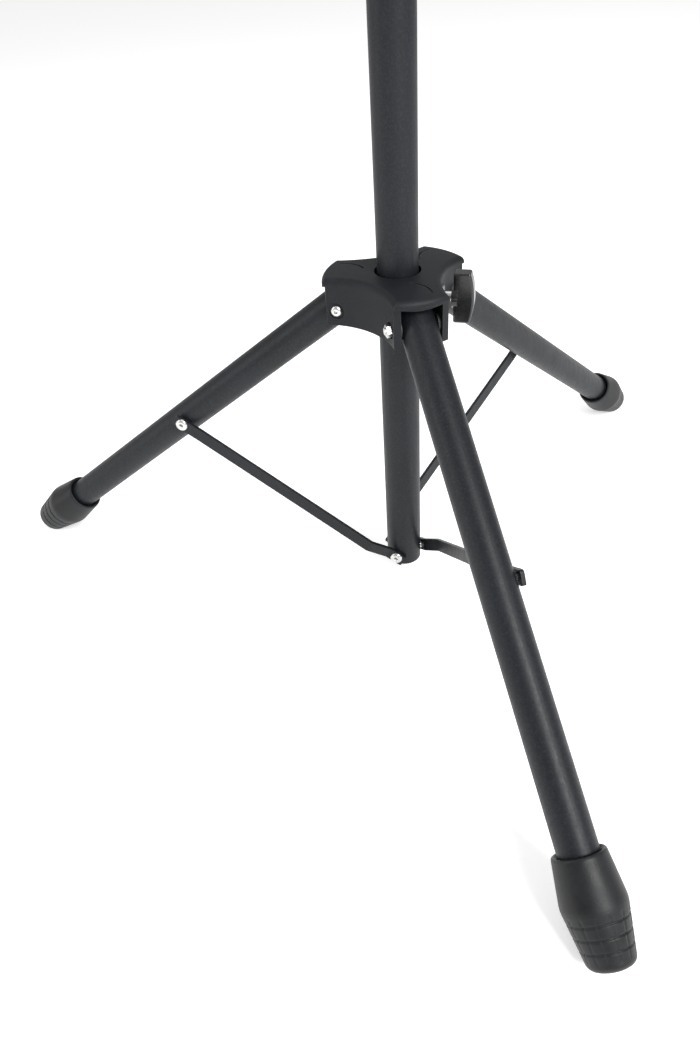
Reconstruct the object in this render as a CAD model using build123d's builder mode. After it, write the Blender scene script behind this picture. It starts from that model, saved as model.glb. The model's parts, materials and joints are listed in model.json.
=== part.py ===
from build123d import *
import os
from math import asin, atan2, cos, degrees, hypot, radians, sin, sqrt

# Folding tripod stand for a trumpet. A lobed hub slides on a round post and carries three tube legs. A flat strut
# ties each leg to the foot of the post, so the legs fold against the post when the hub is pushed up. A smaller tube
# telescopes out of the post, held by a collar, and ends in a peg that goes into the trumpet's bell.
# Millimetres. +Z is up, the floor is z = 0 and the post stands on the Z axis.

# ---- Driving dimensions ----
# Post
POST_DIAMETER = 25.0
POST_WALL = 1.2
POST_LENGTH = 480.0
POST_FLOOR_GAP = 15.0

# Legs
LEG_DIAMETER = 22.0
LEG_WALL = 1.2
LEG_TILT = 52.5  # degrees from the vertical, with the stand open
LEG_AZIMUTHS = {"front": -73.0, "left": 167.0, "right": 47.0}
LEG_HEAD = 11.0  # leg beyond its hinge
BOOT_START = 294.9  # hinge to the rim of the boot
STRUT_STATION = 155.0  # hinge to the strut's rivet, along the leg

# Rubber boots
BOOT_LENGTH = 53.0
BOOT_RIM_WALL = 3.2
BOOT_BULGE_WALL = 6.3
BOOT_BULGE_STATION = 24.0
BOOT_TIP_WALL = 1.2
BOOT_TIP_FILLET = 3.6
BOOT_TIP_THICKNESS = 8.0
BOOT_MOUTH_GAP = 1.3
BOOT_MOUTH_DEPTH = 3.0
BOOT_GROOVES = (30.5, 37.0, 43.5)  # from the rim
BOOT_GROOVE_DEPTH = 0.5
BOOT_GROOVE_WIDTH = 0.9
BOOT_FLAT = 0.4  # rubber pressed flat where it stands on the floor

# Hub
HINGE_REACH = 22.5  # from the post's surface to the leg hinge
HUB_NOSE = 11.0  # lobe beyond the hinge
HUB_WALL = 14.5  # from the post's surface to the bottom of each scoop
HUB_ROOF = 4.5  # plate over the turning head of a leg
HUB_SKIRT = 9.2  # cheeks below the hinge
HUB_CHEEK = 4.1
HUB_LIP = 4.4
HUB_LIP_STEP = 1.6
HUB_CROWN_DROP = 1.2  # the top falls away towards the lobes' tips
HUB_EDGE = 3.6
HUB_MOUTH_STEP = 1.7
HUB_MOUTH_DEPTH = 5.0
FOLD_GAP = 0.5  # between the turning head of a leg and the hub
HINGE_WASHER = 1.44
WASHER_WALL = 3.5
GROOVE_WIDTH = 1.1
GROOVE_DEPTH = 0.5
GROOVE_POINTS = ((9.0, 1.0), (14.5, 6.0), (25.0, 7.8))  # outwards from the post, and sideways
GROOVE_SIDES = {"front": 1, "left": -1, "right": 1}

# Struts
STRUT_WIDTH = 9.0
STRUT_THICKNESS = 2.4
STRUT_END = 6.6  # bar beyond each rivet
STRUT_CORNER = 1.6
STRUT_POST_GAP = 0.45
STRUT_LEG_GAP = 0.9
STRUT_BOW = 5.6  # how far the bar steps outwards near the post
STRUT_STEP_START = 7.0
STRUT_STEP_END = 23.0
STRUT_BEND_RADIUS = 4.0
POST_RIVET_HEIGHT = 8.0  # above the end of the post
POST_RIVET_OFFSET = 2.9  # towards the leg from the post's centre line

# Fasteners
RIVET_RADIUS = 2.5
RIVET_HEAD_WALL = 2.1
RIVET_HEAD_HEIGHT = 1.7
RIVET_BORE = 1.2
RIVET_BORE_DEPTH = 2.6
RIVET_COLLAR_WALL = 1.0
RIVET_COLLAR_LENGTH = 2.0
BOLT_RADIUS = 2.0
BOLT_HEAD_WALL = 1.6
BOLT_HEAD_HEIGHT = 2.3
BOLT_DRIVE_RADIUS = 1.25
BOLT_DRIVE_DEPTH = 1.4
NUT_WALL = 1.5
NUT_HEIGHT = 3.2
BOLT_TAIL = 1.0
SPOT_FACE = 0.5
SPOT_FACE_WALL = 3.0

# Clamps: a wing knob moulded on a steel screw, in a flanged threaded insert
SCREW_RADIUS = 3.0
SCREW_IN_KNOB = 8.0
INSERT_WALL = 1.6
INSERT_SETBACK = 2.5  # from the clamped tube to the insert
INSERT_FLANGE_WALL = 3.2
INSERT_FLANGE = 1.2
KNOB_GAP = 5.4  # from the flange to the knob
KNOB_DEPTH = 13.4
KNOB_EDGE_SAG = 2.6
KNOB_SETBACK = 1.0  # wings behind the face of the boss
KNOB_HEIGHT = 31.0
KNOB_THICKNESS = 8.5
KNOB_BOSS_WALL = 3.6
KNOB_BOSS_DEPTH = 3.4
KNOB_BOSS_TAPER = 4.0
KNOB_ROUND = 1.4

# Telescoping tube and its collar
BUSH_WALL = 1.74
BUSH_LENGTH = 20.0
BUSH_LIP = 2.0
TUBE_WALL = 1.0
TUBE_LENGTH = 330.0
TUBE_INSIDE = 130.0  # of the tube inside the post, as the stand is drawn
COLLAR_WALL = 4.5
COLLAR_ON_POST = 26.0
COLLAR_ABOVE_POST = 20.0
COLLAR_EDGE = 2.0
COLLAR_BOSS_WALL = 1.8
COLLAR_BOSS_REACH = 4.0

# Peg
PLUG_LENGTH = 22.0
PLUG_FLANGE_WALL = 3.0
PLUG_FLANGE = 4.0
STUD_RADIUS = 4.0
STUD_REACH = 14.0
PEG_FLANGE_WALL = 3.0
PEG_FLANGE = 4.0
PEG_ROOT_RADIUS = 21.0
PEG_CONE = 120.0
PEG_WAIST_RADIUS = 12.0
PEG_WAIST_STATION = 60.0
PEG_PIN_RADIUS = 9.0
PEG_PIN_LENGTH = 20.0
PEG_CAP_STEP = 0.3
PEG_CAP_LENGTH = 9.0
PEG_SPIGOT_RADIUS = 5.0
PEG_SPIGOT_LENGTH = 5.0
RING_WALL = 5.0
RING_HEIGHT = 7.0
RING_ROUND = 2.4

# Fits
RUNNING = 0.06  # radial clearance of a piece that slides or turns in another
FREE = 0.4  # radial clearance of a hole that only lets a screw through
ALIKE = 0.01  # two radii closer than this are the same

# ---- Worked out from the above ----
POST_RADIUS = POST_DIAMETER / 2
LEG_RADIUS = LEG_DIAMETER / 2
post_inner = POST_RADIUS - POST_WALL
tube_radius = post_inner - RUNNING - BUSH_WALL
tilt = radians(LEG_TILT)
pivot_radius = POST_RADIUS + HINGE_REACH
pivot_below_apex = pivot_radius * cos(tilt) / sin(tilt)
pivot_to_apex = pivot_radius / sin(tilt)
leg_reach = BOOT_START + BOOT_LENGTH  # hinge to the tip of the boot
boot_rim_radius = LEG_RADIUS + BOOT_RIM_WALL
boot_bulge_radius = LEG_RADIUS + BOOT_BULGE_WALL
boot_tip_radius = LEG_RADIUS + BOOT_TIP_WALL

# The boot stands on its rounded edge, pressed flat by BOOT_FLAT.
edge_station = pivot_to_apex + leg_reach - BOOT_TIP_FILLET
edge_radius = boot_tip_radius - BOOT_TIP_FILLET
apex = edge_station * cos(tilt) + edge_radius * sin(tilt) + BOOT_TIP_FILLET - BOOT_FLAT

# Hub
pivot_z = apex - pivot_below_apex
head_sweep = hypot(LEG_HEAD, LEG_RADIUS) + FOLD_GAP
hub_top = pivot_z + head_sweep + HUB_ROOF
hub_bottom = pivot_z - HUB_SKIRT
hub_radius = pivot_radius + HUB_NOSE
hub_bore = POST_RADIUS + RUNNING
scoop_bottom = POST_RADIUS + HUB_WALL
channel_half = LEG_RADIUS + RUNNING + HINGE_WASHER
lobe_half = channel_half + HUB_CHEEK
mouth_radius = POST_RADIUS + HUB_MOUTH_STEP
lobe_tip_z = hub_top - HUB_CROWN_DROP
cheek_seat = lobe_half - SPOT_FACE
insert_seat = scoop_bottom - SPOT_FACE
clamp_z = (hub_top + hub_bottom) / 2
clamp_azimuth = (LEG_AZIMUTHS["front"] + LEG_AZIMUTHS["right"]) / 2

# The scoops are arcs that leave the lobes their width and reach in to scoop_bottom.
scoop_distance = (scoop_bottom - lobe_half) / (1 - sin(radians(60)))
scoop_radius = scoop_distance - scoop_bottom

# Heights on the post
post_bottom = POST_FLOOR_GAP
post_top = post_bottom + POST_LENGTH
collar_top = post_top + COLLAR_ABOVE_POST
collar_clamp_z = post_top + COLLAR_ABOVE_POST / 2
tube_bottom = post_top - TUBE_INSIDE
tube_top = tube_bottom + TUBE_LENGTH
peg_base = tube_top + PLUG_FLANGE
pin_start = peg_base + PEG_FLANGE + PEG_CONE
pin_end = pin_start + PEG_PIN_LENGTH

# Fasteners
insert_radius = SCREW_RADIUS + INSERT_WALL
flange_radius = SCREW_RADIUS + INSERT_FLANGE_WALL
rivet_head = RIVET_RADIUS + RIVET_HEAD_WALL
rivet_collar = RIVET_RADIUS + RIVET_COLLAR_WALL
bolt_head = BOLT_RADIUS + BOLT_HEAD_WALL
spot_face_radius = BOLT_RADIUS + SPOT_FACE_WALL
washer_radius = BOLT_RADIUS + WASHER_WALL
knob_boss = SCREW_RADIUS + KNOB_BOSS_WALL
collar_radius = POST_RADIUS + COLLAR_WALL
collar_boss = flange_radius + COLLAR_BOSS_WALL
collar_seat = collar_radius + COLLAR_BOSS_REACH
plug_flange_radius = tube_radius + PLUG_FLANGE_WALL
peg_flange_radius = PEG_ROOT_RADIUS + PEG_FLANGE_WALL
peg_cap_radius = PEG_PIN_RADIUS - PEG_CAP_STEP
ring_radius = peg_flange_radius + RING_WALL

# Strut, in the upright plane of its leg: from the rivet on the post to the rivet on the leg
post_rivet_z = post_bottom + POST_RIVET_HEIGHT
leg_rivet_radius = pivot_radius + STRUT_STATION * sin(tilt)
leg_rivet_z = pivot_z - STRUT_STATION * cos(tilt)
strut_run = leg_rivet_radius - POST_RIVET_OFFSET
strut_rise = leg_rivet_z - post_rivet_z
strut_length = hypot(strut_run, strut_rise)
strut_angle = degrees(atan2(strut_rise, strut_run))
strut_at_post = POST_RADIUS + STRUT_POST_GAP + STRUT_THICKNESS / 2
strut_at_leg = LEG_RADIUS + STRUT_LEG_GAP + STRUT_THICKNESS / 2

# Folding: the legs hang parallel to the post when the hub has risen by fold_travel.
folded_run = pivot_radius - POST_RIVET_OFFSET
folded_rise = sqrt(strut_length**2 - folded_run**2)
fold_travel = post_rivet_z + folded_rise + STRUT_STATION - pivot_z
strut_swing = degrees(atan2(folded_rise, folded_run)) - strut_angle

Z_AXIS = Vector(0, 0, 1)


def outwards(azimuth):
    return Vector(cos(radians(azimuth)), sin(radians(azimuth)), 0)


def sideways(azimuth):
    return Vector(-sin(radians(azimuth)), cos(radians(azimuth)), 0)


def upright(azimuth, radius=0.0, height=0.0):
    """The upright plane through the post at an azimuth: x is outwards, y is up and z points clockwise."""
    origin = outwards(azimuth) * radius + Z_AXIS * height
    return Plane(origin, x_dir=outwards(azimuth), z_dir=sideways(azimuth) * -1)


def leg_section(azimuth):
    """The plane through a leg's axis, from its hinge: x is square to the leg, y runs down the leg."""
    origin = outwards(azimuth) * pivot_radius + Z_AXIS * pivot_z
    across = outwards(azimuth) * cos(tilt) + Z_AXIS * sin(tilt)
    return Plane(origin, x_dir=across, z_dir=sideways(azimuth))


def pin_section(azimuth, radius, height):
    """The level plane of a cross pin: x is outwards from the pin's axis and y runs sideways along it."""
    origin = outwards(azimuth) * radius + Z_AXIS * height
    return Plane(origin, x_dir=outwards(azimuth), z_dir=Z_AXIS)


def screw_section(azimuth, height):
    """The level plane of a radial screw: x runs outwards along it and y is sideways."""
    return Plane(Z_AXIS * height, x_dir=outwards(azimuth), z_dir=Z_AXIS)


def circles(piece, radius):
    """The piece's circular edges of a radius."""
    round_edges = piece.edges().filter_by(GeomType.CIRCLE)
    return round_edges.filter_by(lambda edge: abs(edge.radius - radius) < ALIKE)


def keep(piece, name):
    piece.part.label = name
    export_step(piece.part, f"parts/{name}.step")


os.makedirs("parts", exist_ok=True)

# ---- Post ----
with BuildPart() as post_tube:
    with BuildSketch(Plane.XY.offset(post_bottom)):
        Circle(POST_RADIUS)
        Circle(post_inner, mode=Mode.SUBTRACT)
    extrude(amount=POST_LENGTH)
    for azimuth in LEG_AZIMUTHS.values():
        with BuildSketch(upright(azimuth, POST_RIVET_OFFSET, post_rivet_z)):
            Circle(RIVET_RADIUS)
        extrude(amount=-POST_DIAMETER, mode=Mode.SUBTRACT)
keep(post_tube, "post_tube")

plug_depth = POST_RIVET_HEIGHT - rivet_collar - POST_WALL / 2
with BuildPart() as post_end_plug:
    with BuildSketch(Plane.XY.offset(post_bottom)):
        Circle(post_inner)
    extrude(amount=plug_depth)
    chamfer(post_end_plug.edges().group_by(Axis.Z)[-1], length=plug_depth / 5)
keep(post_end_plug, "post_end_plug")

# ---- Hub ----
lip_z = lobe_tip_z - HUB_LIP
with BuildPart() as hub_body:
    with BuildSketch(Plane.XZ):
        with BuildLine():
            Polyline(
                (hub_radius, lobe_tip_z),
                (hub_radius, lip_z),
                (hub_radius - HUB_LIP_STEP, lip_z),
                (hub_radius - HUB_LIP_STEP, hub_bottom),
                (hub_bore, hub_bottom),
                (hub_bore, hub_top - HUB_MOUTH_DEPTH),
                (mouth_radius, hub_top - HUB_MOUTH_DEPTH),
                (mouth_radius, hub_top),
            )
            crown = ((hub_radius + mouth_radius) / 2, hub_top - HUB_CROWN_DROP / 4)
            ThreePointArc((mouth_radius, hub_top), crown, (hub_radius, lobe_tip_z))
        make_face()
    revolve(axis=Axis.Z)
    with BuildSketch(Plane.XY.offset(hub_bottom)):
        with PolarLocations(scoop_distance, 3, start_angle=clamp_azimuth):
            Circle(scoop_radius)
    extrude(amount=hub_top - hub_bottom, mode=Mode.SUBTRACT)
    rim = hub_body.edges().filter_by(lambda edge: edge.center().Z > lobe_tip_z - HUB_CROWN_DROP)
    fillet(rim.filter_by(lambda edge: edge.distance_to((0, 0, hub_top)) > mouth_radius + 1), HUB_EDGE)
    for leg, azimuth in LEG_AZIMUTHS.items():
        side = upright(azimuth, pivot_radius, pivot_z)
        drop = pivot_z - hub_bottom
        # Room for the leg: an arc round the hinge, open downwards and outwards
        with BuildSketch(side):
            Circle(head_sweep)
            with Locations((-head_sweep, 0)):
                Rectangle(head_sweep + hub_radius, drop, align=(Align.MIN, Align.MAX))
            Rectangle(hub_radius, LEG_HEAD + FOLD_GAP, align=(Align.MIN, Align.MIN))
        extrude(amount=channel_half, both=True, mode=Mode.SUBTRACT)
        with BuildSketch(side):
            Circle(BOLT_RADIUS)
        extrude(amount=lobe_half + SPOT_FACE, both=True, mode=Mode.SUBTRACT)
        for seat in (cheek_seat, -cheek_seat - hub_radius / 2):
            with BuildSketch(side.offset(seat)):
                Circle(spot_face_radius)
            extrude(amount=hub_radius / 2, mode=Mode.SUBTRACT)
        # Curved mould line on the lobe
        with BuildSketch(Plane(Z_AXIS * hub_top, x_dir=outwards(azimuth), z_dir=Z_AXIS)):
            with BuildLine():
                ThreePointArc([(POST_RADIUS + out, GROOVE_SIDES[leg] * along) for out, along in GROOVE_POINTS])
                offset(amount=GROOVE_WIDTH / 2, side=Side.BOTH)
            make_face()
        extrude(amount=-HUB_CROWN_DROP / 2 - GROOVE_DEPTH, mode=Mode.SUBTRACT)
    # Seat of the threaded insert
    with BuildSketch(screw_section(clamp_azimuth, clamp_z)):
        with BuildLine():
            Polyline(
                (0, 0),
                (scoop_bottom * 2, 0),
                (scoop_bottom * 2, flange_radius),
                (insert_seat, flange_radius),
                (insert_seat, insert_radius),
                (hub_bore + INSERT_SETBACK, insert_radius),
                (hub_bore + INSERT_SETBACK, SCREW_RADIUS + FREE),
                (0, SCREW_RADIUS + FREE),
                close=True,
            )
        make_face()
    revolve(axis=Axis((0, 0, clamp_z), outwards(clamp_azimuth)), mode=Mode.SUBTRACT)
keep(hub_body, "hub_body")


# ---- Clamps ----
def clamp(prefix, azimuth, height, tip, seat):
    """Insert, screw and wing knob on a radial axis. tip is where the screw bears and seat is the flange's face."""
    section = screw_section(azimuth, height)
    across = Plane(section.origin, x_dir=sideways(azimuth), z_dir=outwards(azimuth))
    axis = Axis(Z_AXIS * height, outwards(azimuth))
    knob_start = seat + INSERT_FLANGE + KNOB_GAP
    with BuildPart() as screw_insert:
        with BuildSketch(section):
            with BuildLine():
                Polyline(
                    (tip + INSERT_SETBACK, SCREW_RADIUS + RUNNING),
                    (tip + INSERT_SETBACK, insert_radius),
                    (seat, insert_radius),
                    (seat, flange_radius),
                    (seat + INSERT_FLANGE, flange_radius),
                    (seat + INSERT_FLANGE, SCREW_RADIUS + RUNNING),
                    close=True,
                )
            make_face()
        revolve(axis=axis)
    keep(screw_insert, f"{prefix}_screw_insert")

    with BuildPart() as clamp_screw:
        with BuildSketch(across.offset(tip)):
            Circle(SCREW_RADIUS)
        extrude(amount=knob_start + SCREW_IN_KNOB - tip)
        chamfer(clamp_screw.edges(), length=SCREW_RADIUS / 6)
    keep(clamp_screw, f"{prefix}_clamp_screw")

    with BuildPart() as clamp_knob:
        half = KNOB_HEIGHT / 2
        edge = KNOB_DEPTH - KNOB_EDGE_SAG
        with BuildSketch(upright(azimuth, knob_start, height)):
            with BuildLine():
                Polyline((edge, half), (KNOB_SETBACK, half), (KNOB_SETBACK, -half), (edge, -half))
                ThreePointArc((edge, -half), (KNOB_DEPTH, 0), (edge, half))
            make_face()
        extrude(amount=KNOB_THICKNESS / 2, both=True)
        fillet(clamp_knob.edges(), KNOB_ROUND)
        with BuildSketch(across.offset(knob_start)):
            Circle(knob_boss)
        extrude(amount=KNOB_BOSS_DEPTH, taper=KNOB_BOSS_TAPER)
        with BuildSketch(across.offset(knob_start)):
            Circle(SCREW_RADIUS)
        extrude(amount=SCREW_IN_KNOB, mode=Mode.SUBTRACT)
    keep(clamp_knob, f"{prefix}_clamp_knob")


clamp("hub", clamp_azimuth, clamp_z, hub_bore, insert_seat)

# ---- Leg hinge bolts, nuts and washers ----
bolt_points = (
    (0, -cheek_seat - NUT_HEIGHT - BOLT_TAIL),
    (BOLT_RADIUS, -cheek_seat - NUT_HEIGHT - BOLT_TAIL),
    (BOLT_RADIUS, cheek_seat),
    (bolt_head, cheek_seat),
)
head_top = cheek_seat + BOLT_HEAD_HEIGHT
with BuildPart() as hub_pivot_bolts:
    for azimuth in LEG_AZIMUTHS.values():
        with BuildSketch(pin_section(azimuth, pivot_radius, pivot_z)):
            with BuildLine():
                Polyline(*bolt_points)
                shoulder = (bolt_head * 0.8, cheek_seat + BOLT_HEAD_HEIGHT * 0.75)
                ThreePointArc((bolt_head, cheek_seat), shoulder, (BOLT_DRIVE_RADIUS, head_top))
                Polyline(
                    (BOLT_DRIVE_RADIUS, head_top),
                    (BOLT_DRIVE_RADIUS, head_top - BOLT_DRIVE_DEPTH),
                    (0, head_top - BOLT_DRIVE_DEPTH),
                    bolt_points[0],
                )
            make_face()
        origin = outwards(azimuth) * pivot_radius + Z_AXIS * pivot_z
        revolve(axis=Axis(origin, sideways(azimuth)))
keep(hub_pivot_bolts, "hub_pivot_bolts")

with BuildPart() as hub_pivot_nuts:
    for azimuth in LEG_AZIMUTHS.values():
        with BuildSketch(upright(azimuth, pivot_radius, pivot_z).offset(cheek_seat)):
            RegularPolygon(BOLT_RADIUS + NUT_WALL, 6, major_radius=False)
            Circle(BOLT_RADIUS, mode=Mode.SUBTRACT)
        extrude(amount=NUT_HEIGHT)
keep(hub_pivot_nuts, "hub_pivot_nuts")

with BuildPart() as hub_pivot_washers:
    for azimuth in LEG_AZIMUTHS.values():
        for start in (LEG_RADIUS + RUNNING, -channel_half):
            with BuildSketch(upright(azimuth, pivot_radius, pivot_z).offset(start)):
                Circle(washer_radius)
                Circle(BOLT_RADIUS, mode=Mode.SUBTRACT)
            extrude(amount=channel_half - LEG_RADIUS - RUNNING)
keep(hub_pivot_washers, "hub_pivot_washers")

# ---- Legs ----
tube_inner = LEG_RADIUS - LEG_WALL
tube_end = leg_reach - BOOT_TIP_THICKNESS
plug_rim = LEG_WALL
for leg, azimuth in LEG_AZIMUTHS.items():
    section = leg_section(azimuth)
    leg_axis = Axis(section.origin, section.y_dir)

    with BuildPart() as leg_tube:
        with BuildSketch(section):
            with Locations((tube_inner, plug_rim - LEG_HEAD)):
                Rectangle(LEG_WALL, tube_end + LEG_HEAD - plug_rim, align=Align.MIN)
        revolve(axis=leg_axis)
        with BuildSketch(section):
            Circle(BOLT_RADIUS + FREE)
        extrude(amount=LEG_DIAMETER, both=True, mode=Mode.SUBTRACT)
    keep(leg_tube, f"leg_tube_{leg}")

    with BuildPart() as leg_top_plug:
        with BuildSketch(section):
            with BuildLine():
                Polyline(
                    (0, -LEG_HEAD),
                    (LEG_RADIUS - plug_rim / 2, -LEG_HEAD),
                    (LEG_RADIUS, plug_rim / 2 - LEG_HEAD),
                    (LEG_RADIUS, plug_rim - LEG_HEAD),
                    (tube_inner, plug_rim - LEG_HEAD),
                    (tube_inner, LEG_HEAD),
                    (0, LEG_HEAD),
                    close=True,
                )
            make_face()
        revolve(axis=leg_axis)
        with BuildSketch(section):
            Circle(BOLT_RADIUS + RUNNING)
        extrude(amount=LEG_DIAMETER, both=True, mode=Mode.SUBTRACT)
    keep(leg_top_plug, f"leg_top_plug_{leg}")

    with BuildPart() as foot_boot:
        with BuildSketch(section):
            with BuildLine():
                Polyline(
                    (LEG_RADIUS, BOOT_START + BOOT_MOUTH_DEPTH),
                    (LEG_RADIUS + BOOT_MOUTH_GAP, BOOT_START + BOOT_MOUTH_DEPTH / 2),
                    (LEG_RADIUS + BOOT_MOUTH_GAP, BOOT_START),
                    (boot_rim_radius, BOOT_START),
                    (boot_bulge_radius, BOOT_START + BOOT_BULGE_STATION),
                    (boot_tip_radius, leg_reach),
                    (0, leg_reach),
                    (0, tube_end),
                    (LEG_RADIUS, tube_end),
                    close=True,
                )
            make_face()
        revolve(axis=leg_axis)
        fillet(circles(foot_boot, boot_tip_radius), BOOT_TIP_FILLET)
        fillet(circles(foot_boot, boot_bulge_radius), boot_bulge_radius / 3)
        fillet(circles(foot_boot, boot_rim_radius), (boot_rim_radius - LEG_RADIUS - BOOT_MOUTH_GAP) / 3)
        # Ring grooves on the lower taper
        taper = (boot_bulge_radius - boot_tip_radius) / (BOOT_LENGTH - BOOT_BULGE_STATION)
        with BuildSketch(section):
            for station in BOOT_GROOVES:
                surface = boot_bulge_radius - (station - BOOT_BULGE_STATION) * taper
                with Locations((surface - BOOT_GROOVE_DEPTH, BOOT_START + station)):
                    Rectangle(BOOT_GROOVE_DEPTH * 3, BOOT_GROOVE_WIDTH, align=(Align.MIN, Align.CENTER))
        revolve(axis=leg_axis, mode=Mode.SUBTRACT)
        split(bisect_by=Plane.XY, keep=Keep.TOP)
    keep(foot_boot, f"foot_boot_{leg}")


# ---- Struts ----
def rivet_profile(azimuth, radius, height, face, stem):
    """Half section of a rivet on a sideways axis: the given stem and a domed head from the strut's outer face."""
    top = face + RIVET_HEAD_HEIGHT
    shoulder = (rivet_head * 0.86, face + RIVET_HEAD_HEIGHT * 0.7)
    with BuildSketch(pin_section(azimuth, radius, height)) as profile:
        with BuildLine():
            Polyline(*stem, (RIVET_RADIUS, face), (rivet_head, face))
            ThreePointArc((rivet_head, face), shoulder, (RIVET_BORE * 1.4, top))
            Polyline(
                (RIVET_BORE * 1.4, top),
                (RIVET_BORE, top - RIVET_BORE * 0.4),
                (RIVET_BORE, top - RIVET_BORE_DEPTH),
                (0, top - RIVET_BORE_DEPTH),
                stem[0],
            )
        make_face()
    return profile.sketch


def cross_axis(azimuth, radius, height):
    return Axis(outwards(azimuth) * radius + Z_AXIS * height, sideways(azimuth))


# Inside the post each rivet is set over a collar, just clear of the curved wall.
collar_reach = POST_RIVET_OFFSET + rivet_collar
wall_inside = sqrt(post_inner**2 - collar_reach**2)
post_stem = (
    (0, wall_inside - RIVET_COLLAR_LENGTH),
    (rivet_collar, wall_inside - RIVET_COLLAR_LENGTH),
    (rivet_collar, wall_inside),
    (RIVET_RADIUS, wall_inside),
)
leg_stem = ((0, LEG_RADIUS + FREE), (RIVET_RADIUS, LEG_RADIUS + FREE))
with BuildPart() as strut_post_rivets:
    for azimuth in LEG_AZIMUTHS.values():
        face = strut_at_post + STRUT_THICKNESS / 2
        revolve(
            rivet_profile(azimuth, POST_RIVET_OFFSET, post_rivet_z, face, post_stem),
            axis=cross_axis(azimuth, POST_RIVET_OFFSET, post_rivet_z),
        )
keep(strut_post_rivets, "strut_post_rivets")

for leg, azimuth in LEG_AZIMUTHS.items():
    foot = outwards(azimuth) * POST_RIVET_OFFSET + Z_AXIS * post_rivet_z
    along = outwards(azimuth) * cos(radians(strut_angle)) + Z_AXIS * sin(radians(strut_angle))
    edge_on = Plane(foot, x_dir=along, z_dir=along.cross(sideways(azimuth)))
    broadside = Plane(foot, x_dir=along, z_dir=sideways(azimuth))
    bowed = strut_at_post + STRUT_BOW
    with BuildPart() as strut:
        with BuildSketch(edge_on):
            with BuildLine():
                FilletPolyline(
                    (-STRUT_END - STRUT_THICKNESS, strut_at_post),
                    (STRUT_STEP_START, strut_at_post),
                    (STRUT_STEP_END, bowed),
                    (strut_length - 2 * STRUT_END, strut_at_leg),
                    (strut_length + STRUT_END + STRUT_THICKNESS, strut_at_leg),
                    radius=STRUT_BEND_RADIUS,
                )
                offset(amount=STRUT_THICKNESS / 2, side=Side.BOTH)
            make_face()
        extrude(amount=STRUT_WIDTH / 2, both=True)
        with BuildSketch(broadside):
            with Locations((strut_length / 2, 0)):
                RectangleRounded(strut_length + 2 * STRUT_END, STRUT_WIDTH, STRUT_CORNER)
            with Locations((0, 0), (strut_length, 0)):
                Circle(RIVET_RADIUS + RUNNING, mode=Mode.SUBTRACT)
        extrude(amount=POST_DIAMETER * 2, mode=Mode.INTERSECT)
    keep(strut, f"strut_{leg}")

    with BuildPart() as strut_leg_rivet:
        face = strut_at_leg + STRUT_THICKNESS / 2
        revolve(
            rivet_profile(azimuth, leg_rivet_radius, leg_rivet_z, face, leg_stem),
            axis=cross_axis(azimuth, leg_rivet_radius, leg_rivet_z),
        )
    keep(strut_leg_rivet, f"strut_leg_rivet_{leg}")

# ---- Height collar ----
with BuildPart() as collar_body:
    with BuildSketch(Plane.XZ):
        with BuildLine():
            Polyline(
                (POST_RADIUS, post_top - COLLAR_ON_POST),
                (collar_radius, post_top - COLLAR_ON_POST),
                (collar_radius, collar_top),
                (tube_radius + RUNNING, collar_top),
                (tube_radius + RUNNING, post_top),
                (POST_RADIUS, post_top),
                close=True,
            )
        make_face()
    revolve(axis=Axis.Z)
    fillet(circles(collar_body, collar_radius), COLLAR_EDGE)
    across = Plane(Z_AXIS * collar_clamp_z, x_dir=sideways(clamp_azimuth), z_dir=outwards(clamp_azimuth))
    boss_root = (collar_radius + tube_radius) / 2
    with BuildSketch(across.offset(boss_root)):
        Circle(collar_boss)
    extrude(amount=collar_seat - boss_root)
    with BuildSketch(across):
        Circle(insert_radius)
    extrude(amount=collar_seat, mode=Mode.SUBTRACT)
keep(collar_body, "collar_body")

clamp("collar", clamp_azimuth, collar_clamp_z, tube_radius + RUNNING, collar_seat)

# ---- Telescoping tube ----
with BuildPart() as inner_tube:
    with BuildSketch(Plane.XY.offset(tube_bottom)):
        Circle(tube_radius)
        Circle(tube_radius - TUBE_WALL, mode=Mode.SUBTRACT)
    extrude(amount=TUBE_LENGTH)
keep(inner_tube, "inner_tube")

with BuildPart() as inner_tube_bush:
    with BuildSketch(Plane.XY.offset(tube_bottom - BUSH_LIP)):
        Circle(post_inner - RUNNING)
        Circle(tube_radius - TUBE_WALL, mode=Mode.SUBTRACT)
    extrude(amount=BUSH_LIP)
    with BuildSketch(Plane.XY.offset(tube_bottom)):
        Circle(post_inner - RUNNING)
        Circle(tube_radius, mode=Mode.SUBTRACT)
    extrude(amount=BUSH_LENGTH)
keep(inner_tube_bush, "inner_tube_bush")

with BuildPart() as tube_top_plug:
    with BuildSketch(Plane.XY.offset(tube_top - PLUG_LENGTH)):
        Circle(tube_radius - TUBE_WALL)
    extrude(amount=PLUG_LENGTH)
    with BuildSketch(Plane.XY.offset(tube_top)):
        Circle(plug_flange_radius)
    extrude(amount=PLUG_FLANGE)
    chamfer(tube_top_plug.edges().group_by(Axis.Z)[-1], length=PLUG_FLANGE / 4)
    with BuildSketch(Plane.XY.offset(tube_top + PLUG_FLANGE)):
        Circle(STUD_RADIUS)
    extrude(amount=-STUD_REACH, mode=Mode.SUBTRACT)
keep(tube_top_plug, "tube_top_plug")

# ---- Peg ----
with BuildPart() as peg_stud:
    with BuildSketch(Plane.XY.offset(peg_base - STUD_REACH)):
        Circle(STUD_RADIUS)
    extrude(amount=2 * STUD_REACH)
keep(peg_stud, "peg_stud")

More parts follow.
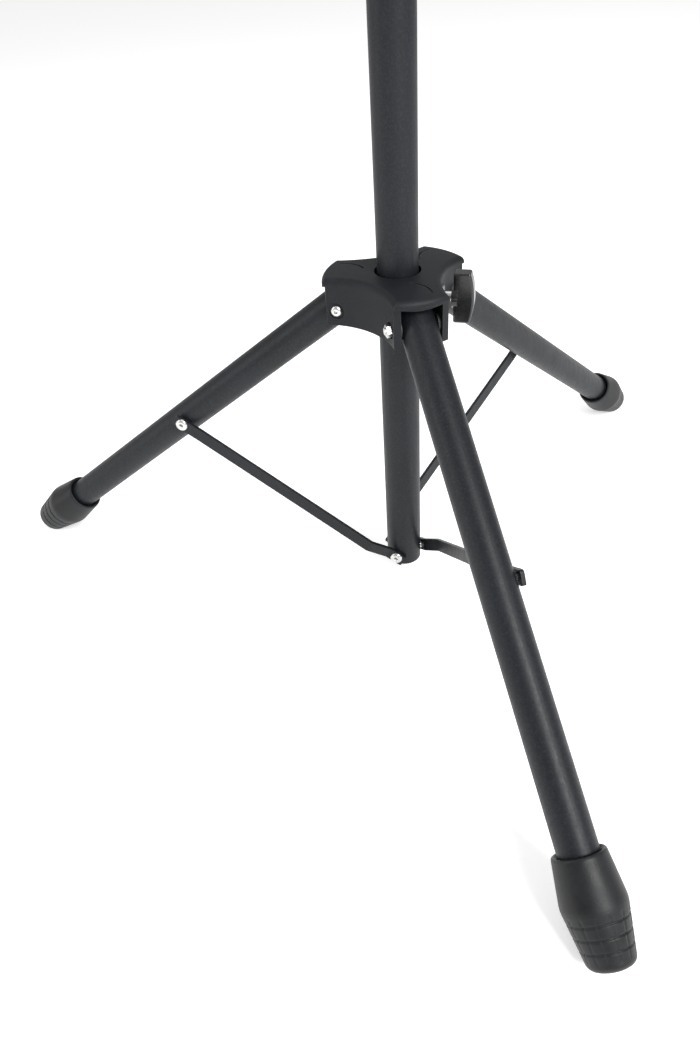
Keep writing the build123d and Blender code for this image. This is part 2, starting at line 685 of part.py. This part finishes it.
with BuildPart() as bell_peg:
    with BuildSketch(Plane.XZ):
        with BuildLine():
            Polyline(
                (STUD_RADIUS, peg_base),
                (peg_flange_radius, peg_base),
                (peg_flange_radius, peg_base + PEG_FLANGE),
                (PEG_ROOT_RADIUS, peg_base + PEG_FLANGE),
            )
            Spline(
                (PEG_ROOT_RADIUS, peg_base + PEG_FLANGE),
                (PEG_WAIST_RADIUS, peg_base + PEG_FLANGE + PEG_WAIST_STATION),
                (PEG_PIN_RADIUS, pin_start),
            )
            Polyline(
                (PEG_PIN_RADIUS, pin_start),
                (PEG_PIN_RADIUS, pin_end),
                (PEG_SPIGOT_RADIUS, pin_end),
                (PEG_SPIGOT_RADIUS, pin_end + PEG_SPIGOT_LENGTH),
                (0, pin_end + PEG_SPIGOT_LENGTH),
                (0, peg_base + STUD_REACH),
                (STUD_RADIUS, peg_base + STUD_REACH),
                (STUD_RADIUS, peg_base),
            )
        make_face()
    revolve(axis=Axis.Z)
keep(bell_peg, "bell_peg")

with BuildPart() as peg_base_ring:
    with BuildSketch(Plane.XY.offset(peg_base)):
        Circle(ring_radius)
        Circle(peg_flange_radius, mode=Mode.SUBTRACT)
    extrude(amount=RING_HEIGHT)
    fillet(circles(peg_base_ring, ring_radius), RING_ROUND)
keep(peg_base_ring, "peg_base_ring")

with BuildPart() as peg_tip_cap:
    with BuildSketch(Plane.XY.offset(pin_end)):
        Circle(peg_cap_radius)
    extrude(amount=PEG_CAP_LENGTH)
    fillet(peg_tip_cap.edges().group_by(Axis.Z)[-1], peg_cap_radius / 2)
    with BuildSketch(Plane.XY.offset(pin_end)):
        Circle(PEG_SPIGOT_RADIUS)
    extrude(amount=PEG_SPIGOT_LENGTH, mode=Mode.SUBTRACT)
keep(peg_tip_cap, "peg_tip_cap")

print("apex", round(apex, 2), "pivot height", round(pivot_z, 2), "post", round(post_bottom, 2), round(post_top, 2))
print("fold travel", round(fold_travel, 3), "strut angle", round(strut_angle, 3), "swing", round(strut_swing, 3))
print("strut length", round(strut_length, 2), "total height", round(pin_end + PEG_CAP_LENGTH, 1))
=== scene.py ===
import json
import math

import bmesh
import bpy
from mathutils import Euler, Matrix, Vector


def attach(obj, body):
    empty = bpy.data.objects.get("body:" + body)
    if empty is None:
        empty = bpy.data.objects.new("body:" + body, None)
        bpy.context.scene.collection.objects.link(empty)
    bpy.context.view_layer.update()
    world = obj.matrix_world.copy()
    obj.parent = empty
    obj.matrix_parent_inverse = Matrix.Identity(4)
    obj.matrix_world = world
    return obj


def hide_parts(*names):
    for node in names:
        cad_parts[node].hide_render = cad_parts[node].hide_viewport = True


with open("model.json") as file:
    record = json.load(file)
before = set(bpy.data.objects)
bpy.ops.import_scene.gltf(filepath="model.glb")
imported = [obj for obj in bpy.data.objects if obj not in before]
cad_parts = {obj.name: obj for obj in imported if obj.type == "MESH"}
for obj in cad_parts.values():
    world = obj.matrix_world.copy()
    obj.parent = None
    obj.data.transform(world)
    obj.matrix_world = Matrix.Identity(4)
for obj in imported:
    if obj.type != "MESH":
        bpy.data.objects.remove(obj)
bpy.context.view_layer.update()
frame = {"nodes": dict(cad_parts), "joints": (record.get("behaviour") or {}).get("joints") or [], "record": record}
JOINTS = {joint["name"]: joint for joint in frame["joints"]}
NODES = frame["nodes"]
LEGS = ("front", "left", "right")

# The colour sockets of a Mix node, which has sockets of the same names for numbers and vectors too
MIX_A, MIX_B, MIX_RESULT = 6, 7, 2
BEVEL_SAMPLES = 4
BLUE_GAIN = 1.6
EDGE_LOW, EDGE_HIGH = 0.02, 0.16  # how far the bevel turns a normal where an edge starts and is full

# ---------------------------------------------------------------- materials


class Shader:
    """A node material with helpers for the few nodes that every finish here is made of."""

    def __init__(self, name, roughness, **sockets):
        self.material = bpy.data.materials.new(name)
        self.material.use_nodes = True
        self.tree = self.material.node_tree
        self.bsdf = self.tree.nodes["Principled BSDF"]
        self.bsdf.inputs["Roughness"].default_value = roughness
        for socket, value in sockets.items():
            self.bsdf.inputs[socket.replace("_", " ")].default_value = value
        self.place = self.tree.nodes.new("ShaderNodeTexCoord").outputs["Object"]

    def node(self, kind, inputs=None, **settings):
        made = self.tree.nodes.new(kind)
        for key, value in settings.items():
            setattr(made, key, value)
        for key, value in (inputs or {}).items():
            if isinstance(value, bpy.types.NodeSocket):
                self.tree.links.new(value, made.inputs[key])
            else:
                made.inputs[key].default_value = value
        return made

    def noise(self, per_metre, detail=3.0, rough=0.55, stretch=None, distortion=0.0):
        """Soft noise from 0 to 1. It is stretched along an axis whose stretch value is low."""
        place = self.place
        if stretch:
            place = self.node("ShaderNodeMapping", {"Vector": place, "Scale": stretch}).outputs["Vector"]
        inputs = {"Vector": place, "Scale": per_metre, "Detail": detail, "Roughness": rough}
        inputs["Distortion"] = distortion
        return self.node("ShaderNodeTexNoise", inputs).outputs["Fac"]

    def cells(self, per_metre):
        """Distance to the nearest of many scattered points, for pits and grain."""
        made = self.node("ShaderNodeTexVoronoi", {"Vector": self.place, "Scale": per_metre})
        return made.outputs["Distance"]

    def spread(self, value, low, high, to_low=0.0, to_high=1.0):
        """Stretches the part of value between low and high over to_low and to_high."""
        inputs = {"Value": value, "From Min": low, "From Max": high, "To Min": to_low, "To Max": to_high}
        return self.node("ShaderNodeMapRange", inputs).outputs["Result"]

    def maths(self, operation, a, b):
        return self.node("ShaderNodeMath", {0: a, 1: b}, operation=operation).outputs["Value"]

    def mix(self, factor, a, b):
        made = self.node("ShaderNodeMix", {"Factor": factor}, data_type="RGBA")
        for index, value in ((MIX_A, a), (MIX_B, b)):
            if isinstance(value, bpy.types.NodeSocket):
                self.tree.links.new(value, made.inputs[index])
            else:
                made.inputs[index].default_value = value
        return made.outputs[MIX_RESULT]

    def edges(self, radius):
        """0 on open faces and 1 on edges, from how far a small bevel turns the normal."""
        bevel = self.node("ShaderNodeBevel", {"Radius": radius}, samples=BEVEL_SAMPLES).outputs["Normal"]
        normal = self.node("ShaderNodeNewGeometry").outputs["Normal"]
        dot = self.node("ShaderNodeVectorMath", {0: bevel, 1: normal}, operation="DOT_PRODUCT")
        return self.spread(self.maths("SUBTRACT", 1.0, dot.outputs["Value"]), EDGE_LOW, EDGE_HIGH)

    def colour(self, value):
        self.tree.links.new(value, self.bsdf.inputs["Base Color"])

    def rough(self, value):
        self.tree.links.new(value, self.bsdf.inputs["Roughness"])

    def bump(self, height, depth, strength, normal=None):
        inputs = {"Height": height, "Distance": depth, "Strength": strength}
        if normal:
            inputs["Normal"] = normal
        made = self.node("ShaderNodeBump", inputs).outputs["Normal"]
        self.tree.links.new(made, self.bsdf.inputs["Normal"])
        return made


def grey(value, blue=0.0):
    """A grey whose red falls and whose blue rises with the given tint."""
    return (value * (1 - blue), value, value * (1 + BLUE_GAIN * blue), 1.0)


def powder_coat():
    """Matte black powder coat: orange peel, a fine and a coarse speckle, and rubbed edges."""
    m = Shader("powder_coat", 0.4, Specular_IOR_Level=0.27)
    patch = m.noise(14, 4)
    speck = m.noise(2600, 2, 0.7)
    body = m.mix(m.spread(patch, 0.35, 0.7), grey(0.006, 0.16), grey(0.010, 0.18))
    body = m.mix(m.spread(speck, 0.55, 0.8, 0, 0.4), body, grey(0.028, 0.08))
    body = m.mix(m.spread(m.noise(800, 2, 0.6), 0.45, 0.7, 0, 0.5), body, grey(0.022, 0.16))
    rub = m.maths("MULTIPLY", m.edges(0.0007), m.spread(m.noise(420, 4), 0.42, 0.62))
    body = m.mix(m.maths("MULTIPLY", rub, 0.45), body, grey(0.07, 0.02))
    m.colour(body)
    streak = m.noise(60, 3, 0.6, stretch=(6, 6, 0.7))
    m.rough(m.maths("ADD", m.spread(streak, 0.3, 0.7, 0.36, 0.47), m.spread(speck, 0.3, 0.8, 0.0, 0.08)))
    peel = m.bump(m.noise(900, 2, 0.5), 0.00006, 0.55)
    m.bump(speck, 0.00003, 0.6, peel)
    return m.material


def hub_plastic():
    """Black nylon with a fine moulded grain, a little flow marking and paler worn edges."""
    m = Shader("hub_plastic", 0.4, Specular_IOR_Level=0.2)
    flow = m.noise(38, 5, 0.6, distortion=0.8)
    grain = m.cells(2300)
    body = m.mix(m.spread(flow, 0.35, 0.7), grey(0.004, 0.25), grey(0.011, 0.2))
    body = m.mix(m.spread(grain, 0.2, 0.6, 0, 0.3), body, grey(0.024, 0.04))
    worn = m.maths("MULTIPLY", m.edges(0.0011), m.spread(m.noise(160, 4), 0.36, 0.66))
    m.colour(m.mix(m.maths("MULTIPLY", worn, 0.45), body, grey(0.06)))
    m.rough(m.spread(flow, 0.3, 0.75, 0.44, 0.58))
    fine = m.bump(grain, 0.00008, 0.5)
    m.bump(m.noise(700, 3), 0.00005, 0.4, fine)
    return m.material


def knob_plastic():
    """Glossy black plastic with haze, scuffs and slightly worn edges."""
    m = Shader("knob_plastic", 0.22, Specular_IOR_Level=0.5, Coat_Weight=0.15, Coat_Roughness=0.12)
    haze = m.noise(90, 5, 0.6)
    scuff = m.noise(340, 3, 0.5, stretch=(1, 1, 5))
    body = m.mix(m.spread(haze, 0.35, 0.7), grey(0.006, 0.03), grey(0.011, 0.05))
    worn = m.maths("MULTIPLY", m.edges(0.0009), m.spread(scuff, 0.4, 0.65))
    m.colour(m.mix(m.maths("MULTIPLY", worn, 0.4), body, grey(0.06)))
    m.rough(m.spread(haze, 0.3, 0.75, 0.16, 0.32))
    m.bump(m.noise(520, 2), 0.00005, 0.35)
    return m.material


def boot_rubber():
    """Moulded rubber: cloudy tone, fine pitting, painted highlights along its lip and ring grooves, and a greyer
    sole where it rests on the floor.
    """
    m = Shader("boot_rubber", 0.42, Specular_IOR_Level=0.3)
    dust = m.noise(55, 5, 0.62, distortion=0.5)
    pits = m.cells(1500)
    body = m.mix(m.spread(dust, 0.35, 0.7), grey(0.006, 0.08), grey(0.011, 0.08))
    # Painted highlight: every edge the bevel finds, such as the lip and the ring grooves, is made evenly lighter
    # so the grooves show as light lines.
    body = m.mix(m.maths("MULTIPLY", m.edges(0.0012), 0.35), body, grey(0.04))
    height = m.node("ShaderNodeSeparateXYZ", {"Vector": m.place}).outputs["Z"]
    sole = m.maths("MULTIPLY", m.spread(height, 0.004, 0.0, 0, 1), m.spread(m.noise(240, 4), 0.35, 0.6))
    m.colour(m.mix(m.maths("MULTIPLY", sole, 0.5), body, grey(0.06, -0.02)))
    m.rough(m.spread(dust, 0.3, 0.75, 0.4, 0.56))
    fine = m.bump(pits, 0.00010, 0.4)
    m.bump(m.noise(420, 3), 0.00008, 0.35, fine)
    return m.material


def bright_steel():
    """Zinc-plated steel: bright plate, faintly blue or yellow in patches, with fine grime."""
    m = Shader("bright_steel", 0.28, Metallic=1.0)
    tint = m.noise(320, 4, 0.6)
    body = m.mix(m.spread(tint, 0.35, 0.7), (0.60, 0.61, 0.62, 1), (0.74, 0.72, 0.68, 1))
    grime = m.maths("MULTIPLY", m.spread(m.noise(900, 4), 0.5, 0.72), 0.35)
    m.colour(m.mix(grime, body, (0.30, 0.29, 0.28, 1)))
    m.rough(m.spread(m.noise(1500, 3), 0.3, 0.75, 0.18, 0.38))
    m.bump(m.noise(1800, 2), 0.00003, 0.5)
    return m.material


def inner_plastic():
    """Plain dull black plastic with faint clouding."""
    m = Shader("inner_plastic", 0.55, Specular_IOR_Level=0.45)
    cloud = m.noise(70, 4)
    body = m.mix(m.spread(cloud, 0.35, 0.7), grey(0.02, 0.02), grey(0.034, 0.02))
    m.colour(m.mix(m.maths("MULTIPLY", m.edges(0.0006), 0.4), body, grey(0.08)))
    m.rough(m.spread(cloud, 0.3, 0.75, 0.48, 0.64))
    m.bump(m.noise(1300, 2), 0.00006, 0.5)
    return m.material


FINISHES = {
    "powder_coat": powder_coat(),
    "hub_plastic": hub_plastic(),
    "knob_plastic": knob_plastic(),
    "boot_rubber": boot_rubber(),
    "bright_steel": bright_steel(),
    "inner_plastic": inner_plastic(),
}

for part in frame["record"]["subparts"]:
    mesh = NODES[part["node"]].data
    mesh.materials.clear()
    mesh.materials.append(FINISHES[part["material_slot"]])

# ---------------------------------------------------------------- rubber boots

LEG_RADIUS = 0.011
BOOT_START = 0.2949  # from the hinge to the rim, along the leg
BOOT_LENGTH = 0.053
RIM, BULGE, TIP = 0.0142, 0.0173, 0.0122  # outer radii
BULGE_AT = 0.024
CREASE_DEPTH, CREASE_WIDTH = 0.00015, 0.0012
GROOVES = (0.0305, 0.0370, 0.0435)
GROOVE_DEPTH, GROOVE_WIDTH = 0.0006, 0.0005
SOCKET_DEPTH = 0.0032
MOUTH = ((0.0, SOCKET_DEPTH), (0.0009, 0.0022), (0.0013, 0.0008))  # out from the leg, and below the rim
LIP_RADIUS, LIP_STEPS = 0.0009, 8
TIP_ROUND, TIP_STEPS, TIP_DRAW_IN = 0.0036, 8, 0.0004
WALL_ROWS = 130
SOLE_RADII = (0.0068, 0.0062, 0.0058, 0.003)
SOLE_RECESS_RADIUS, SOLE_RECESS = 0.006, 0.0006
RIBS = 14
RIB_STEPS = 14  # mesh steps round the boot for each rib
RIB_DEPTH, RIB_WIDTH, RIB_FADE = 0.00028, 0.07, 0.002
ROUND_STEPS = RIBS * RIB_STEPS


def smooth(t):
    t = min(max(t, 0.0), 1.0)
    return t * t * (3 - 2 * t)


def boot_radius(station):
    """Outer radius at a distance from the rim, with the crease at the bulge and the ring grooves."""
    if station < BULGE_AT:
        radius = RIM + (BULGE - RIM) * station / BULGE_AT
    else:
        radius = BULGE - (BULGE - TIP) * (station - BULGE_AT) / (BOOT_LENGTH - BULGE_AT)
    radius -= CREASE_DEPTH * math.exp(-(((station - BULGE_AT) / CREASE_WIDTH) ** 2))
    for groove in GROOVES:
        radius -= GROOVE_DEPTH * math.exp(-(((station - groove) / GROOVE_WIDTH) ** 4))
    return radius


def boot_profile():
    """(radius, station, rib depth) from inside the mouth, over the rim, down the side and across the tip."""
    points = [(LEG_RADIUS + out, station, 0) for out, station in MOUTH]
    for step in range(LIP_STEPS + 1):
        turn = math.pi * (1 - step / LIP_STEPS)
        middle = RIM - LIP_RADIUS
        points.append((middle + LIP_RADIUS * math.cos(turn), LIP_RADIUS - LIP_RADIUS * math.sin(turn), 0))
    first = LIP_RADIUS * 1.3  # just below the lip
    last = BOOT_LENGTH - TIP_ROUND
    for row in range(WALL_ROWS + 1):
        station = first + (last - first) * row / WALL_ROWS
        fade_in = smooth((station - BULGE_AT - RIB_FADE) / RIB_FADE)
        rib = RIB_DEPTH * fade_in * smooth((last - station) / RIB_FADE)
        points.append((boot_radius(station), station, rib))
    start = boot_radius(last)
    for step in range(1, TIP_STEPS + 1):
        turn = math.pi / 2 * step / TIP_STEPS
        radius = start - TIP_ROUND + TIP_ROUND * math.cos(turn) - TIP_DRAW_IN * step / TIP_STEPS
        points.append((radius, last + TIP_ROUND * math.sin(turn), 0))
    for radius in SOLE_RADII:
        depth = SOLE_RECESS if radius < SOLE_RECESS_RADIUS else 0
        points.append((radius, BOOT_LENGTH - depth, 0))
    return points


def build_boot(leg):
    hinge = JOINTS[f"leg_{leg}_hinge"]
    pivot = Vector(hinge["pos_m"])
    side = Vector(hinge["axis"])
    tilt = math.radians(hinge["range_deg"][1])
    outward = Vector((pivot.x, pivot.y, 0)).normalized()
    down = outward * math.sin(tilt) - Vector((0, 0, 1)) * math.cos(tilt)
    across = side.cross(down)
    mesh = bmesh.new()
    rings = []
    for radius, station, rib in boot_profile():
        ring = []
        for step in range(ROUND_STEPS):
            turn = 2 * math.pi * step / ROUND_STEPS
            phase = (step % RIB_STEPS) / RIB_STEPS - 0.5
            reach = radius - rib * math.exp(-((phase / RIB_WIDTH) ** 2))
            round_leg = side * math.cos(turn) + across * math.sin(turn)
            spot = pivot + down * (BOOT_START + station) + round_leg * reach
            spot.z = max(spot.z, 0.0)
            ring.append(mesh.verts.new(spot))
        rings.append(ring)
    for a, b in zip(rings, rings[1:]):
        for step in range(ROUND_STEPS):
            after = (step + 1) % ROUND_STEPS
            mesh.faces.new((a[step], a[after], b[after], b[step]))
    centre = mesh.verts.new(pivot + down * (BOOT_START + BOOT_LENGTH - SOLE_RECESS))
    for step in range(ROUND_STEPS):
        mesh.faces.new((rings[-1][step], rings[-1][(step + 1) % ROUND_STEPS], centre))
    # A flat cap inside the mouth, hidden by the leg tube, closes the mesh
    cap = mesh.verts.new(pivot + down * (BOOT_START + SOCKET_DEPTH))
    for step in range(ROUND_STEPS):
        mesh.faces.new((rings[0][(step + 1) % ROUND_STEPS], rings[0][step], cap))
    bmesh.ops.recalc_face_normals(mesh, faces=mesh.faces)
    for face in mesh.faces:
        face.smooth = True
    data = bpy.data.meshes.new(f"boot_{leg}")
    mesh.to_mesh(data)
    mesh.free()
    boot = bpy.data.objects.new(f"boot_{leg}", data)
    bpy.context.scene.collection.objects.link(boot)
    data.materials.append(FINISHES["boot_rubber"])
    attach(boot, f"leg_{leg}")
    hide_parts(f"foot_boot_{leg}")


for leg in LEGS:
    build_boot(leg)

# ---------------------------------------------------------------- studio

FLOOR_WHITE = 0.93
FLOOR_GLOW = 0.42  # keeps the far floor as white as the near floor
WORLD_STRENGTH = 0.5
LENS_MM = 27.55888
SENSOR_MM = 36
CAMERA_AT = (-0.0078566, -0.4636176, 0.4233100)
CAMERA_TURN_DEG = (51.1497, 3.4333, 1.1967)

scene = bpy.context.scene
scene.view_settings.view_transform = "Standard"

floor_mesh = bpy.data.meshes.new("studio_floor")
span = 8.0
corners = [(-span, -span, 0), (span, -span, 0), (span, span, 0), (-span, span, 0)]
floor_mesh.from_pydata(corners, [], [(0, 1, 2, 3)])
floor = bpy.data.objects.new("studio_floor", floor_mesh)
scene.collection.objects.link(floor)
floor_look = Shader("studio_floor", 0.9, Specular_IOR_Level=0.0)
floor_look.bsdf.inputs["Base Color"].default_value = grey(FLOOR_WHITE)
floor_look.bsdf.inputs["Emission Color"].default_value = (1, 1, 1, 1)
floor_look.bsdf.inputs["Emission Strength"].default_value = FLOOR_GLOW
floor_mesh.materials.append(floor_look.material)

world = bpy.data.worlds.new("studio")
world.use_nodes = True
world.node_tree.nodes["Background"].inputs["Color"].default_value = (1, 1, 1, 1)
world.node_tree.nodes["Background"].inputs["Strength"].default_value = WORLD_STRENGTH
scene.world = world


def softbox(name, spot, target, size, power):
    """A rectangular lamp of the given size in metres and power in watts."""
    light = bpy.data.lights.new(name, "AREA")
    light.shape = "RECTANGLE"
    light.size, light.size_y = size
    light.energy = power
    lamp = bpy.data.objects.new(name, light)
    lamp.location = spot
    lamp.rotation_euler = (Vector(target) - Vector(spot)).to_track_quat("-Z", "Y").to_euler()
    scene.collection.objects.link(lamp)


softbox("key_right", (0.95, -1.4, 1.5), (0, 0, 0.2), (0.8, 1.2), 52)
softbox("fill_left", (-1.5, -0.3, 0.9), (0, 0, 0.25), (0.6, 1.4), 7)
softbox("top", (0.1, 0.5, 2.2), (0, 0, 0.2), (1.6, 1.6), 10)

camera_data = bpy.data.cameras.new("camera")
camera_data.sensor_fit = "AUTO"
camera_data.sensor_width = SENSOR_MM
camera_data.lens = LENS_MM
camera = bpy.data.objects.new("camera", camera_data)
turn = Euler([math.radians(angle) for angle in CAMERA_TURN_DEG])
camera.matrix_world = Matrix.Translation(CAMERA_AT) @ turn.to_matrix().to_4x4()
scene.collection.objects.link(camera)
scene.camera = camera
